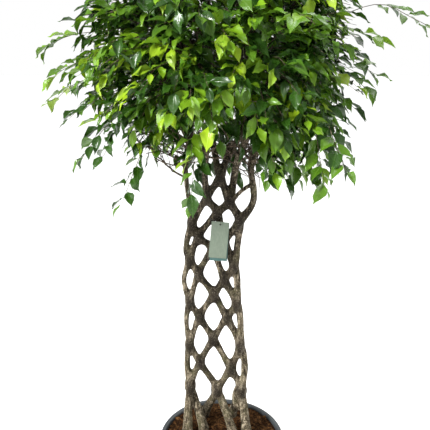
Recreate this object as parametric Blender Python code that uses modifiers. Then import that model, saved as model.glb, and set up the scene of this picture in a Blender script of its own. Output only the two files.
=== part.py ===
"""A weeping fig with a woven trunk, in its round nursery pot.

Metres, +Z up, seen from -Y. The origin is the middle of the pot's underside.
Six stems are woven into one flat lattice and have grown together where they cross.
Above the lattice each stem carries its own leafy head, and the six heads make one round crown.
"""

import math
import random

import bmesh
import bpy
from mathutils import Matrix, Vector, noise
from mathutils.bvhtree import BVHTree

GAP = 0.0004

# Pot
POT_HEIGHT = 0.340
POT_RIM_RADIUS = 0.200
POT_MOUTH_RADIUS = 0.185
POT_FOOT_RADIUS = 0.150
POT_WALL = 0.003
POT_FLOOR = 0.005
RIM_SKIRT = 0.024
RIM_ROUND = 0.003
POT_SIDES = 32
DRAIN_HOLES = 6
DRAIN_HOLE_RADIUS = 0.007
DRAIN_CIRCLE_RADIUS = 0.095

# Soil
SOIL_EDGE_BELOW_RIM = 0.009
SOIL_MOUND = 0.019
SOIL_BUMP = 0.0035
SOIL_RINGS = 5

# Trunk: x and height of each crossing, read upwards, one list for each column of crossings
CROSSINGS = (
    ((-0.104, 0.512), (-0.103, 0.651), (-0.101, 0.799), (-0.099, 0.926), (-0.091, 1.048)),
    ((-0.069, 0.578), (-0.073, 0.739), (-0.076, 0.878), (-0.072, 1.006), (-0.050, 1.128)),
    ((-0.023, 0.483), (-0.029, 0.663), (-0.022, 0.816), (-0.025, 0.965), (-0.016, 1.082), (-0.007, 1.192)),
    ((0.027, 0.553), (0.011, 0.737), (0.001, 0.863), (0.007, 0.994), (0.018, 1.119)),
    ((0.069, 0.496), (0.058, 0.641), (0.045, 0.788), (0.036, 0.913), (0.052, 1.057)),
)
CROSSING_ROWS = 11
LEFT_BOWS = ((-0.112, 0.577), (-0.112, 0.730), (-0.118, 0.866), (-0.110, 0.972), (-0.099, 1.118))
RIGHT_BOWS = ((0.074, 0.572), (0.058, 0.730), (0.047, 0.860), (0.047, 0.985), (0.093, 1.122))
STEM_FEET = (
    (-0.112, 0.012),
    (-0.060, 0.022),
    (-0.058, 0.094),
    (0.036, -0.006),
    (0.043, 0.094),
    (0.080, 0.010),
)
STEM_TOPS = ((-0.108, 0.048), (-0.051, 0.040), (-0.017, 0.062), (0.006, 0.052), (0.040, 0.040), (0.084, 0.052))
BRANCH_KNOTS = ((0.028, 0.044, 1.120), (0.048, 0.036, 1.150), (0.070, 0.038, 1.168), (0.092, 0.052, 1.178))
BRANCH_RADIUS = 0.0066
LATTICE_Y = 0.050
WEAVE_DEPTH = 0.0075
FOOT_HEIGHT = 0.352
ROOT_HEIGHT = 0.240
TOP_HEIGHT = 1.228
LIMB_END_HEIGHT = 1.440
LIMB_SPREAD = 0.105
STEM_RADIUS = 0.0092
STEM_RADIUS_AT_FOOT = 0.0142
FOOT_TAPER_HEIGHT = 0.26
LIMB_RADIUS = 0.0105
GRAFT_RADIUS = 0.0158
GRAFT_TAPER = 0.10
THICKER_TO_THE_RIGHT = 1.2
STEM_STEP = 0.048

# Crown: half-widths, heights above and below its centre, and how much its underside rises to the front
CROWN_CENTRE = Vector((0.015, 0.045, 1.570))
CROWN_HALF_WIDTH_LEFT = 0.405
CROWN_HALF_WIDTH_RIGHT = 0.335
CROWN_HALF_DEPTH = 0.385
CROWN_ABOVE = 0.350
CROWN_BELOW_LEFT = 0.310
CROWN_BELOW_RIGHT = 0.420
FRONT_RAISED = 0.080
DOME_POWER = 2.4
UNDERSIDE_POWER = 3.0
CORE_SHARE = 0.72
CORE_LUMPS = 0.22
HEADS = {
    "crown_left": 180,
    "crown_front_left": 240,
    "crown_back_left": 120,
    "crown_back_right": 60,
    "crown_front_right": 300,
    "crown_right": 0,
}
HEAD_ANGLE = 60
TWIGS_PER_HEAD = 8
TWIG_RADIUS = 0.0022
TWIG_STEP = 0.09
TWIG_START_SHARE = 0.80
LOWEST_TWIG = -0.84
TWIG_RISE = 1.86
SHOOT_START = 0.186
BLADES_PER_TWIG = 5
BLADE_LENGTH = 0.062
BLADE_WIDTH = 0.036
BLADE_THICKNESS = 0.0012
BLADE_ROOT = 0.0010
BLADE_KINDS = 8
BLADE_TRIES = 10
BLADE_SPACING = 0.0245
GOLDEN_SHARE = 0.618034
SEED = 11

# Long shoots: where each tip ends, and how many blades it has
LONG_SHOOTS = (
    ((-0.530, 0.030, 1.560), 4),
    ((-0.515, -0.060, 1.475), 4),
    ((-0.500, 0.090, 1.405), 5),
    ((-0.432, 0.030, 1.365), 4),
    ((-0.275, -0.090, 1.150), 5),
    ((-0.092, -0.085, 1.145), 4),
    ((-0.345, -0.220, 1.300), 4),
    ((-0.300, 0.480, 1.500), 4),
    ((-0.160, 0.420, 1.240), 4),
    ((0.250, 0.500, 1.620), 4),
    ((0.220, 0.380, 1.230), 4),
    ((0.285, -0.280, 1.280), 4),
    ((0.255, -0.200, 1.215), 4),
    ((0.170, -0.440, 1.600), 4),
    ((0.620, 0.060, 1.560), 6),
    ((0.455, -0.020, 1.490), 4),
    ((0.390, 0.100, 1.240), 4),
)

# Hang tag
TAG_WIDTH = 0.053
TAG_HEIGHT = 0.114
TAG_THICKNESS = 0.0008
TAG_TILT = math.radians(5)
TAG_HOLE = Vector((-0.0060, 0.0200, 1.0590))
TAG_HOLE_BELOW_EDGE = 0.0085
TAG_HOLE_RADIUS = 0.0028
BACK_CARD_HEIGHT = 0.120
BACK_CARD_HOLE_BELOW_EDGE = 0.005
BACK_CARD_BEHIND = 0.0022
BACK_CARD_TILT = math.radians(3)
TIE_RADIUS = 0.0007
TIE_STEP = 0.009
TIE_SEAT = 0.00015
TIE_DROPS = 40


def clear_scene():
    for obj in list(bpy.data.objects):
        bpy.data.objects.remove(obj)


def collection(name):
    made = bpy.data.collections.new(name)
    bpy.context.scene.collection.children.link(made)
    return made


def material(name, colour, roughness, metallic=0.0):
    made = bpy.data.materials.new(name)
    made.use_nodes = True
    shader = made.node_tree.nodes["Principled BSDF"]
    shader.inputs["Base Color"].default_value = (*colour, 1.0)
    shader.inputs["Roughness"].default_value = roughness
    shader.inputs["Metallic"].default_value = metallic
    return made


def mesh_object(name, mesh, where, surface=None):
    obj = bpy.data.objects.new(name, mesh)
    where.objects.link(obj)
    if surface:
        mesh.materials.clear()
        mesh.materials.append(surface)
    return obj


def evaluated_mesh(obj, triangles=False):
    """The object's mesh with its modifiers applied, and with any loose cap welded on."""
    graph = bpy.context.evaluated_depsgraph_get()
    graph.update()
    mesh = bpy.data.meshes.new_from_object(obj.evaluated_get(graph))
    shape = bmesh.new()
    shape.from_mesh(mesh)
    bmesh.ops.remove_doubles(shape, verts=shape.verts, dist=1e-6)
    if triangles:
        bmesh.ops.triangulate(shape, faces=shape.faces)
    shape.to_mesh(mesh)
    shape.free()
    return mesh


def apply_modifiers(obj, triangles=False):
    mesh = evaluated_mesh(obj, triangles)
    obj.modifiers.clear()
    obj.data = mesh


def smooth_path(knots, step):
    """Points about one step apart on a Catmull-Rom curve through the knots."""
    knots = [Vector(knot) for knot in knots]
    ends = [2 * knots[0] - knots[1], *knots, 2 * knots[-1] - knots[-2]]
    points = []
    for before, start, end, after in zip(ends, ends[1:], ends[2:], ends[3:]):
        pieces = max(1, round((end - start).length / step))
        for i in range(pieces):
            t = i / pieces
            points.append(
                0.5
                * (
                    2 * start
                    + (end - before) * t
                    + (2 * before - 5 * start + 4 * end - after) * t**2
                    + (3 * start - before - 3 * end + after) * t**3
                )
            )
    points.append(knots[-1])
    return points


def tube(name, points, radii, where, sides=8, closed=False):
    """A round tube along the points, with its own radius at each, as a closed mesh."""
    curve = bpy.data.curves.new(name, "CURVE")
    curve.dimensions = "3D"
    curve.bevel_depth = 1.0
    curve.bevel_resolution = (sides - 4) // 2
    curve.use_fill_caps = True
    spline = curve.splines.new("POLY")
    spline.points.add(len(points) - 1)
    spline.use_cyclic_u = closed
    for knot, place, radius in zip(spline.points, points, radii):
        knot.co = (*place, 1.0)
        knot.radius = radius
    guide = bpy.data.objects.new(name + "_line", curve)
    where.objects.link(guide)
    mesh = evaluated_mesh(guide)
    bpy.data.objects.remove(guide)
    return mesh_object(name, mesh, where)


def boolean(obj, operation, others, solver="MANIFOLD"):
    """Joins or cuts the object with every object of a collection, then removes those."""
    modifier = obj.modifiers.new(operation.title(), "BOOLEAN")
    modifier.operation = operation
    modifier.operand_type = "COLLECTION"
    modifier.collection = others
    modifier.solver = solver
    apply_modifiers(obj, triangles=True)
    for other in list(others.objects):
        bpy.data.objects.remove(other)
    bpy.data.collections.remove(others)


def turned(name, profile, where, surface):
    """The profile, a list of radius and height pairs, turned round the Z axis."""
    mesh = bpy.data.meshes.new(name)
    points = [(radius, 0.0, height) for radius, height in profile]
    mesh.from_pydata(points, [(i, i + 1) for i in range(len(points) - 1)], [])
    obj = mesh_object(name, mesh, where, surface)
    screw = obj.modifiers.new("Turn", "SCREW")
    screw.axis = "Z"
    screw.steps = POT_SIDES
    screw.render_steps = POT_SIDES
    screw.use_merge_vertices = True
    screw.merge_threshold = 0.0001
    apply_modifiers(obj)
    return obj


def shade(obj, angle=40):
    obj.data.shade_smooth()
    obj.data.set_sharp_from_angle(angle=math.radians(angle))


def mouth_radius_at(height):
    """The pot's inner radius at a height, on its straight taper."""
    share = height / POT_HEIGHT
    foot = POT_FOOT_RADIUS - POT_WALL
    return foot + (POT_MOUTH_RADIUS - foot) * share


def make_pot(where, surface):
    top = POT_HEIGHT
    skirt_inside = POT_RIM_RADIUS - POT_WALL
    under_rim = top - POT_WALL
    profile = [
        (0.0, POT_FLOOR),
        (mouth_radius_at(POT_FLOOR), POT_FLOOR),
        (mouth_radius_at(top - RIM_ROUND), top - RIM_ROUND),
        (mouth_radius_at(top) + RIM_ROUND, top),
        (POT_RIM_RADIUS - RIM_ROUND, top),
        (POT_RIM_RADIUS, top - RIM_ROUND),
        (POT_RIM_RADIUS, top - RIM_SKIRT),
        (skirt_inside, top - RIM_SKIRT),
        (skirt_inside, under_rim),
        (mouth_radius_at(under_rim) + POT_WALL, under_rim),
        (POT_FOOT_RADIUS, 2 * RIM_ROUND),
        (POT_FOOT_RADIUS - 2 * RIM_ROUND, 0.0),
        (0.0, 0.0),
    ]
    pot = turned("pot", profile, where, surface)
    drains = collection("drains")
    for i in range(DRAIN_HOLES):
        angle = 2 * math.pi * i / DRAIN_HOLES
        place = Vector((math.cos(angle), math.sin(angle), 0.0)) * DRAIN_CIRCLE_RADIUS
        shape = bmesh.new()
        bmesh.ops.create_cone(
            shape,
            cap_ends=True,
            segments=8,
            radius1=DRAIN_HOLE_RADIUS,
            radius2=DRAIN_HOLE_RADIUS,
            depth=4 * POT_FLOOR,
            matrix=Matrix.Translation(place),
        )
        mesh = bpy.data.meshes.new("drain")
        shape.to_mesh(mesh)
        shape.free()
        mesh_object("drain", mesh, drains)
    boolean(pot, "DIFFERENCE", drains, "EXACT")
    shade(pot)
    return pot


def soil_height(x, y):
    """The crumbly top of the soil: a low mound with bumps."""
    edge = POT_HEIGHT - SOIL_EDGE_BELOW_RIM
    share = min(1.0, math.hypot(x, y - LATTICE_Y / 2) / POT_MOUTH_RADIUS)
    mound = SOIL_MOUND * 0.5 * (1 + math.cos(math.pi * share))
    return edge + mound + SOIL_BUMP * noise.noise(Vector((x, y, 0.0)) * 38)


def make_soil(where, surface, holes):
    edge = POT_HEIGHT - SOIL_EDGE_BELOW_RIM
    bottom = POT_FLOOR + GAP
    side = mouth_radius_at(edge) - GAP
    profile = [(side * i / SOIL_RINGS, edge) for i in range(SOIL_RINGS)]
    profile += [(side, edge), (mouth_radius_at(bottom) - 2 * GAP, bottom), (0.0, bottom)]
    soil = turned("soil", profile, where, surface)
    for vertex in soil.data.vertices:
        if vertex.co.z > edge - GAP and vertex.co.xy.length < side - GAP:
            vertex.co.z = soil_height(vertex.co.x, vertex.co.y)
    boolean(soil, "DIFFERENCE", holes, "EXACT")
    return soil


def woven_routes():
    """The knots of each stem from its root to its limb's end, in the order of STEM_FEET.

    Two rows of crossings take turns: the odd columns, then the even ones.
    A stem that leans right passes in front at the odd columns and behind at the even ones.
    """
    routes = [
        [Vector((x, y, ROOT_HEIGHT)), Vector((x, y, FOOT_HEIGHT))] for x, y in STEM_FEET
    ]
    lanes = list(range(len(STEM_FEET)))
    for row in range(CROSSING_ROWS):
        level, odd = row // 2, row % 2 == 0
        for column in range(0 if odd else 1, len(CROSSINGS), 2):
            if level >= len(CROSSINGS[column]):
                continue
            x, height = CROSSINGS[column][level]
            rising, falling = lanes[column], lanes[column + 1]
            front = -WEAVE_DEPTH if odd else WEAVE_DEPTH
            routes[rising].append(Vector((x, LATTICE_Y + front, height)))
            routes[falling].append(Vector((x, LATTICE_Y - front, height)))
            lanes[column], lanes[column + 1] = falling, rising
        if not odd:
            for lane, bows in ((0, LEFT_BOWS), (-1, RIGHT_BOWS)):
                x, height = bows[level]
                routes[lanes[lane]].append(Vector((x, LATTICE_Y, height)))
    for lane, (stem, heading) in enumerate(zip(lanes, HEADS.values())):
        x, y = STEM_TOPS[lane]
        angle = math.radians(heading)
        spread = Vector((math.cos(angle), math.sin(angle), 0.0)) * LIMB_SPREAD
        foot = Vector((CROWN_CENTRE.x, CROWN_CENTRE.y, 0.0)) + spread
        routes[stem].append(Vector((x, y, TOP_HEIGHT)))
        routes[stem].append(Vector((foot.x, foot.y, LIMB_END_HEIGHT - 0.10)))
        routes[stem].append(Vector((foot.x, foot.y, LIMB_END_HEIGHT)))
    return routes


def stem_radius(point):
    """A stem's radius: stout at the foot and where two have grown together, slimmer in between and in the crown."""
    nearest = min(
        math.hypot(point.x - x, point.z - height)
        for column in CROSSINGS
        for x, height in column
    )
    radius = max(STEM_RADIUS, GRAFT_RADIUS - GRAFT_TAPER * nearest) * (1 + THICKER_TO_THE_RIGHT * point.x)
    if point.z < FOOT_HEIGHT:
        return STEM_RADIUS_AT_FOOT
    if point.z < TOP_HEIGHT:
        share = min(1.0, (point.z - FOOT_HEIGHT) / FOOT_TAPER_HEIGHT)
        return max(radius, STEM_RADIUS_AT_FOOT + (STEM_RADIUS - STEM_RADIUS_AT_FOOT) * share)
    return LIMB_RADIUS


def head_over(point):
    """The name of the head whose share of the crown holds a limb's end."""
    way = point - CROWN_CENTRE
    turn = round(math.degrees(math.atan2(way.y, way.x)) / HEAD_ANGLE) * HEAD_ANGLE % 360
    return next(name for name, heading in HEADS.items() if heading == turn)


def make_trunk(where, surface):
    """Returns the trunk, and cutters for the plain holes that its roots and limb ends stand in."""
    root_holes = collection("root_holes")
    limb_holes = {name: collection(name + "_hole") for name in HEADS}
    others = collection("other_stems")
    first = None
    for root, *knots, limb_end in woven_routes():
        points = [root, *smooth_path(knots, STEM_STEP), limb_end]
        radii = [stem_radius(point) for point in points]
        stem = tube("stem", points, radii, others if first else where)
        first = first or stem
        points[0] = root + (root - points[1]).normalized() * GAP
        points[-1] = limb_end + (limb_end - points[-2]).normalized() * GAP
        hole = tube("hole", points, [radius + 1.3 * GAP for radius in radii], root_holes)
        mesh_object("hole", hole.data, limb_holes[head_over(limb_end)])
    tube("branch", smooth_path(BRANCH_KNOTS, STEM_STEP), [BRANCH_RADIUS] * len(BRANCH_KNOTS), others, 6)
    first.name = "woven_trunk"
    first.data.materials.append(surface)
    boolean(first, "UNION", others)
    shade(first, 60)
    return first, root_holes, limb_holes


def blade_mesh(kind):
    """One leaf blade on +X with its foot round the origin: oval with a drip tip, folded and waved.

    It is thickest along its midrib and thins to its edge, and both faces are split alike.
    """
    draw = random.Random(SEED + kind)
    fold = draw.uniform(0.16, 0.34)
    wave = draw.uniform(0.04, 0.09) * draw.choice((-1, 1))
    droop = draw.uniform(0.10, 0.24)
    bend = draw.uniform(-0.06, 0.06)

    def place(along, across, ripple=0.0, lift=0.0):
        x = along * BLADE_LENGTH
        y = (across * 0.5 * BLADE_WIDTH) + bend * along**2 * BLADE_LENGTH
        z = abs(across) * fold * 0.5 * BLADE_WIDTH - droop * along**2 * BLADE_LENGTH
        return Vector((x, y, z + ripple * BLADE_LENGTH + lift))

    shape = bmesh.new()
    tip = shape.verts.new(place(1.0, 0))
    edges = []
    for side in (-1, 1):
        wide = shape.verts.new(place(0.32, side, side * wave))
        shoulder = shape.verts.new(place(0.70, side * 0.62, -side * wave))
        edges.append((wide, shoulder, tip))
    feet = []
    for lift in (-0.5, 0.5):
        foot = shape.verts.new(place(-BLADE_ROOT / BLADE_LENGTH, 0, lift=lift * BLADE_THICKNESS))
        middle = shape.verts.new(place(0.46, 0, lift=lift * BLADE_THICKNESS))
        feet.append(foot)
        for side in edges:
            for first, second in zip((foot, *side), side):
                shape.faces.new((first, second, middle))
    for wide, *_ in edges:
        shape.faces.new((*feet, wide))
    bmesh.ops.recalc_face_normals(shape, faces=shape.faces)
    mesh = bpy.data.meshes.new("blade")
    shape.to_mesh(mesh)
    shape.free()
    return mesh


def tree_of(mesh, matrix):
    points = [matrix @ vertex.co for vertex in mesh.vertices]
    return BVHTree.FromPolygons(points, [polygon.vertices[:] for polygon in mesh.polygons])


def is_clear(tree, place, twig, taken):
    """Whether a blade's tree crosses nothing near it but the twig that it grows from."""
    return not any(
        owner is not twig and (place - spot).length < reach and tree.overlap(other)
        for other, spot, reach, owner in taken
    )


def blade_matrix(foot, outward, side, draw):
    """Places a blade at its foot: out to one side of the twig, tip hanging, upper face outward."""
    down = Vector((0.0, 0.0, -1.0))
    along = outward * draw.uniform(0.30, 0.75) + side * draw.uniform(0.35, 0.8)
    along += down * draw.uniform(0.45, 1.05)
    along.normalize()
    face = outward + Vector((0.0, 0.0, draw.uniform(0.35, 0.9)))
    across = face.cross(along).normalized()
    face = along.cross(across)
    turn = Matrix((along, across, face)).transposed().to_4x4()
    size = draw.uniform(0.86, 1.12)
    return Matrix.Translation(foot) @ turn @ Matrix.Scale(size, 4)


def crown_reach(way):
    """How far the foliage goes from the crown's centre: domed above, squarer and uneven below."""
    right = min(1.0, max(0.0, 0.5 + 0.8 * way.x))
    right *= right * (3 - 2 * right)
    front = min(1.0, max(0.0, -1.3 * way.y))
    wide = CROWN_HALF_WIDTH_LEFT + (CROWN_HALF_WIDTH_RIGHT - CROWN_HALF_WIDTH_LEFT) * right
    below = CROWN_BELOW_LEFT + (CROWN_BELOW_RIGHT - CROWN_BELOW_LEFT) * right - FRONT_RAISED * front
    tall, power = (CROWN_ABOVE, DOME_POWER) if way.z > 0 else (below, UNDERSIDE_POWER)
    level = math.hypot(way.x / wide, way.y / CROWN_HALF_DEPTH)
    reach = (level**power + abs(way.z / tall) ** power) ** (-1 / power)
    return reach * (1 + 0.09 * noise.noise(way * 2.3) + 0.08 * noise.noise(way * 5.1))


def core_wedge(name, heading, where, surface):
    """The dense inside of one head: its share of a lumpy crown, cut just clear of its neighbours'."""
    shape = bmesh.new()
    bmesh.ops.create_icosphere(shape, subdivisions=3, radius=1.0)
    for vertex in shape.verts:
        lump = 1 + CORE_LUMPS * noise.noise(vertex.co * 9.7)
        vertex.co *= crown_reach(vertex.co) * CORE_SHARE * lump
    for turn in (-1, 1):
        angle = math.radians(heading + turn * HEAD_ANGLE / 2)
        normal = Vector((-math.sin(angle), math.cos(angle), 0.0)) * turn
        cut = bmesh.ops.bisect_plane(
            shape,
            geom=shape.verts[:] + shape.edges[:] + shape.faces[:],
            plane_co=-normal * GAP,
            plane_no=normal,
            clear_outer=True,
        )
        rim = [edge for edge in cut["geom_cut"] if isinstance(edge, bmesh.types.BMEdge)]
        bmesh.ops.contextual_create(shape, geom=rim)
    bmesh.ops.translate(shape, verts=shape.verts, vec=CROWN_CENTRE)
    bmesh.ops.recalc_face_normals(shape, faces=shape.faces)
    mesh = bpy.data.meshes.new(name)
    shape.to_mesh(mesh)
    shape.free()
    return mesh_object(name, mesh, where, surface)


def short_twig(heading, number, draw):
    """The knots of one short twig, each number going to its own place over the head's share of the crown."""
    rise = LOWEST_TWIG + TWIG_RISE * (number + 0.5) / TWIGS_PER_HEAD
    swing = (number * GOLDEN_SHARE) % 1.0 - 0.5
    angle = math.radians(heading + swing * (HEAD_ANGLE - 12))
    level = math.sqrt(1 - rise**2)
    way = Vector((math.cos(angle) * level, math.sin(angle) * level, rise))
    start = way * crown_reach(way) * CORE_SHARE * TWIG_START_SHARE
    end = way * crown_reach(way) * draw.uniform(0.93, 1.03)
    arch = Vector((0.0, 0.0, draw.uniform(0.01, 0.03)))
    return [CROWN_CENTRE + knot for knot in (start, start.lerp(end, 0.55) + arch, end - arch)]


def long_twig(tip):
    """The knots of a long shoot, which arches out of the core to its tip."""
    end = Vector(tip)
    start = CROWN_CENTRE + (end - CROWN_CENTRE).normalized() * SHOOT_START
    arch = Vector((0.0, 0.0, 0.09 * (end - start).length))
    return [start, start.lerp(end, 0.35) + arch, start.lerp(end, 0.72) + arch, end]


def grow_blades(twig, points, count, blades, repeats, taken, draw):
    """Sets blades by turns on either side of a twig's outer part, each where it crosses nothing."""
    length = (points[-1] - points[0]).length
    for i in range(count):
        share = 1 - (count - 1 - i) * BLADE_SPACING / length
        spot = share * (len(points) - 1)
        lower = min(int(spot), len(points) - 2)
        foot = points[lower].lerp(points[lower + 1], spot - lower)
        outward = (foot - CROWN_CENTRE).normalized()
        run = (points[lower + 1] - points[lower]).normalized()
        side = run.cross(Vector((0.0, 0.0, 1.0))).normalized() * (1 if i % 2 else -1)
        if i == count - 1:
            side = run
            foot = foot - run * TWIG_RADIUS
        for _ in range(BLADE_TRIES):
            mesh = blades[draw.randrange(BLADE_KINDS)]
            matrix = blade_matrix(foot, outward, side, draw)
            tree = tree_of(mesh, matrix @ Matrix.Diagonal((1.04, 1.08, 2.6, 1.0)))
            if is_clear(tree, foot, twig, taken):
                mesh_object("blade", mesh, repeats).matrix_world = matrix
                taken.append((tree, foot, 2.4 * BLADE_LENGTH, None))
                break


def make_crown(where, surface, trunk, limb_holes):
    """Six heads. Every core and twig is placed before the first blade, so that blades keep clear of them."""
    blades = [blade_mesh(kind) for kind in range(BLADE_KINDS)]
    draw = random.Random(SEED)
    taken = [(tree_of(trunk.data, Matrix()), CROWN_CENTRE, 1.0, None)]
    twigs = []
    for name, heading in HEADS.items():
        core = core_wedge(name, heading, where, surface)
        taken.append((tree_of(core.data, Matrix()), CROWN_CENTRE, 1.0, None))
        repeats = collection(name + "_repeats")
        routes = [(short_twig(heading, i, draw), BLADES_PER_TWIG) for i in range(TWIGS_PER_HEAD)]
        routes += [(long_twig(tip), count) for tip, count in LONG_SHOOTS if head_over(Vector(tip)) == name]
        for knots, count in routes:
            points = smooth_path(knots, TWIG_STEP)
            radii = [TWIG_RADIUS * (1.25 - 0.5 * i / len(points)) for i in range(len(points))]
            twig = tube("twig", points, radii, repeats, sides=4)
            reach = (points[-1] - points[0]).length
            taken.append((tree_of(twig.data, Matrix()), points[-1], reach + 2 * BLADE_LENGTH, twig))
            twigs.append((twig, points, count, repeats))
    for twig, points, count, repeats in twigs:
        grow_blades(twig, points, count, blades, repeats, taken, draw)
    for name in HEADS:
        head = bpy.data.objects[name]
        boolean(head, "UNION", bpy.data.collections[name + "_repeats"])
        boolean(head, "DIFFERENCE", limb_holes[name])
        head.data.materials.clear()
        head.data.materials.append(surface)


def make_card(name, hole, height, edge_above_hole, tilt, where, surface):
    """One bare card of the hang tag, hanging by its punched hole."""
    shape = bmesh.new()
    bmesh.ops.create_cube(shape, size=1.0)
    bmesh.ops.scale(shape, vec=(TAG_WIDTH, TAG_THICKNESS, height), verts=shape.verts)
    bmesh.ops.translate(shape, vec=(0.0, 0.0, edge_above_hole - height / 2), verts=shape.verts)
    mesh = bpy.data.meshes.new(name)
    shape.to_mesh(mesh)
    shape.free()
    card = mesh_object(name, mesh, where, surface)
    punches = collection(name + "_punch")
    shape = bmesh.new()
    bmesh.ops.create_cone(
        shape,
        cap_ends=True,
        segments=16,
        radius1=TAG_HOLE_RADIUS,
        radius2=TAG_HOLE_RADIUS,
        depth=0.01,
        matrix=Matrix.Rotation(math.radians(90), 4, "X"),
    )
    punch = bpy.data.meshes.new(name + "_punch")
    shape.to_mesh(punch)
    shape.free()
    mesh_object("punch", punch, punches)
    boolean(card, "DIFFERENCE", punches, "EXACT")
    card.location = hole
    card.rotation_euler = (0.0, tilt, 0.0)
    return card


def make_tag(where, card_surface, back_surface, tie_surface, trunk):
    """Two cards on a cord tie, which is let down round a crossing until it rests on the bark."""
    front_size = (TAG_HEIGHT, TAG_HOLE_BELOW_EDGE)
    front = make_card("tag_front_card", TAG_HOLE, *front_size, TAG_TILT, where, card_surface)
    behind = TAG_HOLE + Vector((0.0, BACK_CARD_BEHIND, 0.0))
    back_size = (BACK_CARD_HEIGHT, BACK_CARD_HOLE_BELOW_EDGE)
    back = make_card("tag_back_card", behind, *back_size, BACK_CARD_TILT, where, back_surface)
    waist = Vector((-0.016, LATTICE_Y, 1.084))
    knots = [
        TAG_HOLE + Vector((0.000, -0.0050, 0.0020)),
        TAG_HOLE + Vector((0.001, -0.0050, 0.0090)),
        TAG_HOLE + Vector((0.005, 0.0010, 0.0150)),
        waist + Vector((0.027, -0.012, 0.0)),
        waist + Vector((0.023, 0.018, 0.003)),
        waist + Vector((0.000, 0.0235, 0.004)),
        waist + Vector((-0.023, 0.018, 0.002)),
        waist + Vector((-0.027, -0.010, -0.005)),
        TAG_HOLE + Vector((-0.012, 0.0065, 0.0050)),
        TAG_HOLE + Vector((-0.001, 0.0045, 0.0012)),
    ]
    closed = smooth_path([knots[-1], *knots, knots[0], knots[1]], TIE_STEP)
    starts = [i for i, point in enumerate(closed) if (point - knots[0]).length < 1e-6]
    points = closed[starts[0] : starts[1]]
    tie = tube("tag_tie", points, [TIE_RADIUS] * len(points), where, 4, closed=True)
    tie.data.materials.append(tie_surface)
    bark = tree_of(trunk.data, Matrix())
    drop = 0.0
    for _ in range(TIE_DROPS):
        lowered = (vertex.co - Vector((0.0, 0.0, drop)) for vertex in tie.data.vertices)
        free = min(bark.find_nearest(place)[3] for place in lowered)
        drop += max(0.0, free - TIE_SEAT) * 0.5
    for piece in (front, back, tie):
        piece.location.z -= drop


def main():
    clear_scene()
    plant = collection("weeping_fig")
    plastic = material("pot_plastic", (0.060, 0.072, 0.082), 0.55)
    peat = material("soil", (0.130, 0.060, 0.028), 0.95)
    bark = material("bark", (0.300, 0.245, 0.185), 0.80)
    leaf = material("leaf", (0.045, 0.150, 0.025), 0.38)
    card = material("tag_card", (0.330, 0.400, 0.310), 0.70)
    card_back = material("tag_card_back", (0.075, 0.150, 0.140), 0.70)
    tie = material("tag_tie", (0.030, 0.030, 0.030), 0.50)
    make_pot(plant, plastic)
    trunk, root_holes, limb_holes = make_trunk(plant, bark)
    make_soil(plant, peat, root_holes)
    make_crown(plant, leaf, trunk, limb_holes)
    make_tag(plant, card, card_back, tie, trunk)


main()
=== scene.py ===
"""The looks of a weeping fig with a woven trunk, in its nursery pot."""

import math
import random

import bmesh
import bpy
import numpy as np
from mathutils import Matrix, Vector, noise


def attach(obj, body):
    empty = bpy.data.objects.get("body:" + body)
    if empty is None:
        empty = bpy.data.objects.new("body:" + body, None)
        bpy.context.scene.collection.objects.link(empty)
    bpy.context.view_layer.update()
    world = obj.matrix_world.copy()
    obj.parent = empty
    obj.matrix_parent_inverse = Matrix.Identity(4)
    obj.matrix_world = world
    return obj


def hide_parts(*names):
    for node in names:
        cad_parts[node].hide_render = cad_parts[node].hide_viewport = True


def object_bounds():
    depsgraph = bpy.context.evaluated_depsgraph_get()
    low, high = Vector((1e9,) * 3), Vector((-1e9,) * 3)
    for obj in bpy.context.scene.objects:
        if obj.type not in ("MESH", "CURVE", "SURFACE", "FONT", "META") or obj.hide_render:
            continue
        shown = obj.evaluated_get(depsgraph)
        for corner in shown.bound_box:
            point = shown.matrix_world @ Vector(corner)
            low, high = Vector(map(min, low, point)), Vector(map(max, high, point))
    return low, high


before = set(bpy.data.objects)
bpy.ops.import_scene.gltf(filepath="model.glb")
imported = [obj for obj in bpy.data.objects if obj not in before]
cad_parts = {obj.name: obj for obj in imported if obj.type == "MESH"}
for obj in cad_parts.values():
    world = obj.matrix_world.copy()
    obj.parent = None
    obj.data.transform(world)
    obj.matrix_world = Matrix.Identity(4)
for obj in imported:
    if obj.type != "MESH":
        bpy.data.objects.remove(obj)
cad_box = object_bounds()

SEED = 5
UP = Vector((0.0, 0.0, 1.0))

# Camera
EYE = Vector((-0.022, -1.600, 1.560))
LOOK_DOWN = math.radians(16.4)
FOCAL_PIXELS = 574.0
PICTURE = 430.0
SENSOR = 36.0

# Lights: kind, name, place, aim, energy, and angle of the sun or width of a panel
TREE, STEMS = (0.0, 0.0, 1.3), (0.0, 0.0, 0.75)
LIGHTS = (
    ("SUN", "key", (-2.6, -2.1, 3.3), TREE, 5.4, math.radians(10)),
    ("AREA", "left_side", (-2.3, 0.1, 0.9), STEMS, 20.0, 1.2),
    ("AREA", "right_side", (2.3, 0.1, 0.9), STEMS, 24.0, 1.2),
    ("AREA", "fill", (2.4, -1.9, 1.6), TREE, 6.0, 2.0),
    ("AREA", "top", (0.6, 0.9, 4.2), TREE, 60.0, 1.6),
    ("AREA", "backdrop", (1.1, 2.0, 2.3), (1.1, 2.6, 0.0), 70.0, 3.0),
)
WINDOW_WAY = (-0.35, -0.70, 0.62)
DOME_FROM, DOME_DARK, DOME_LIGHT = -0.6, 0.07, 0.60

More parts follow.
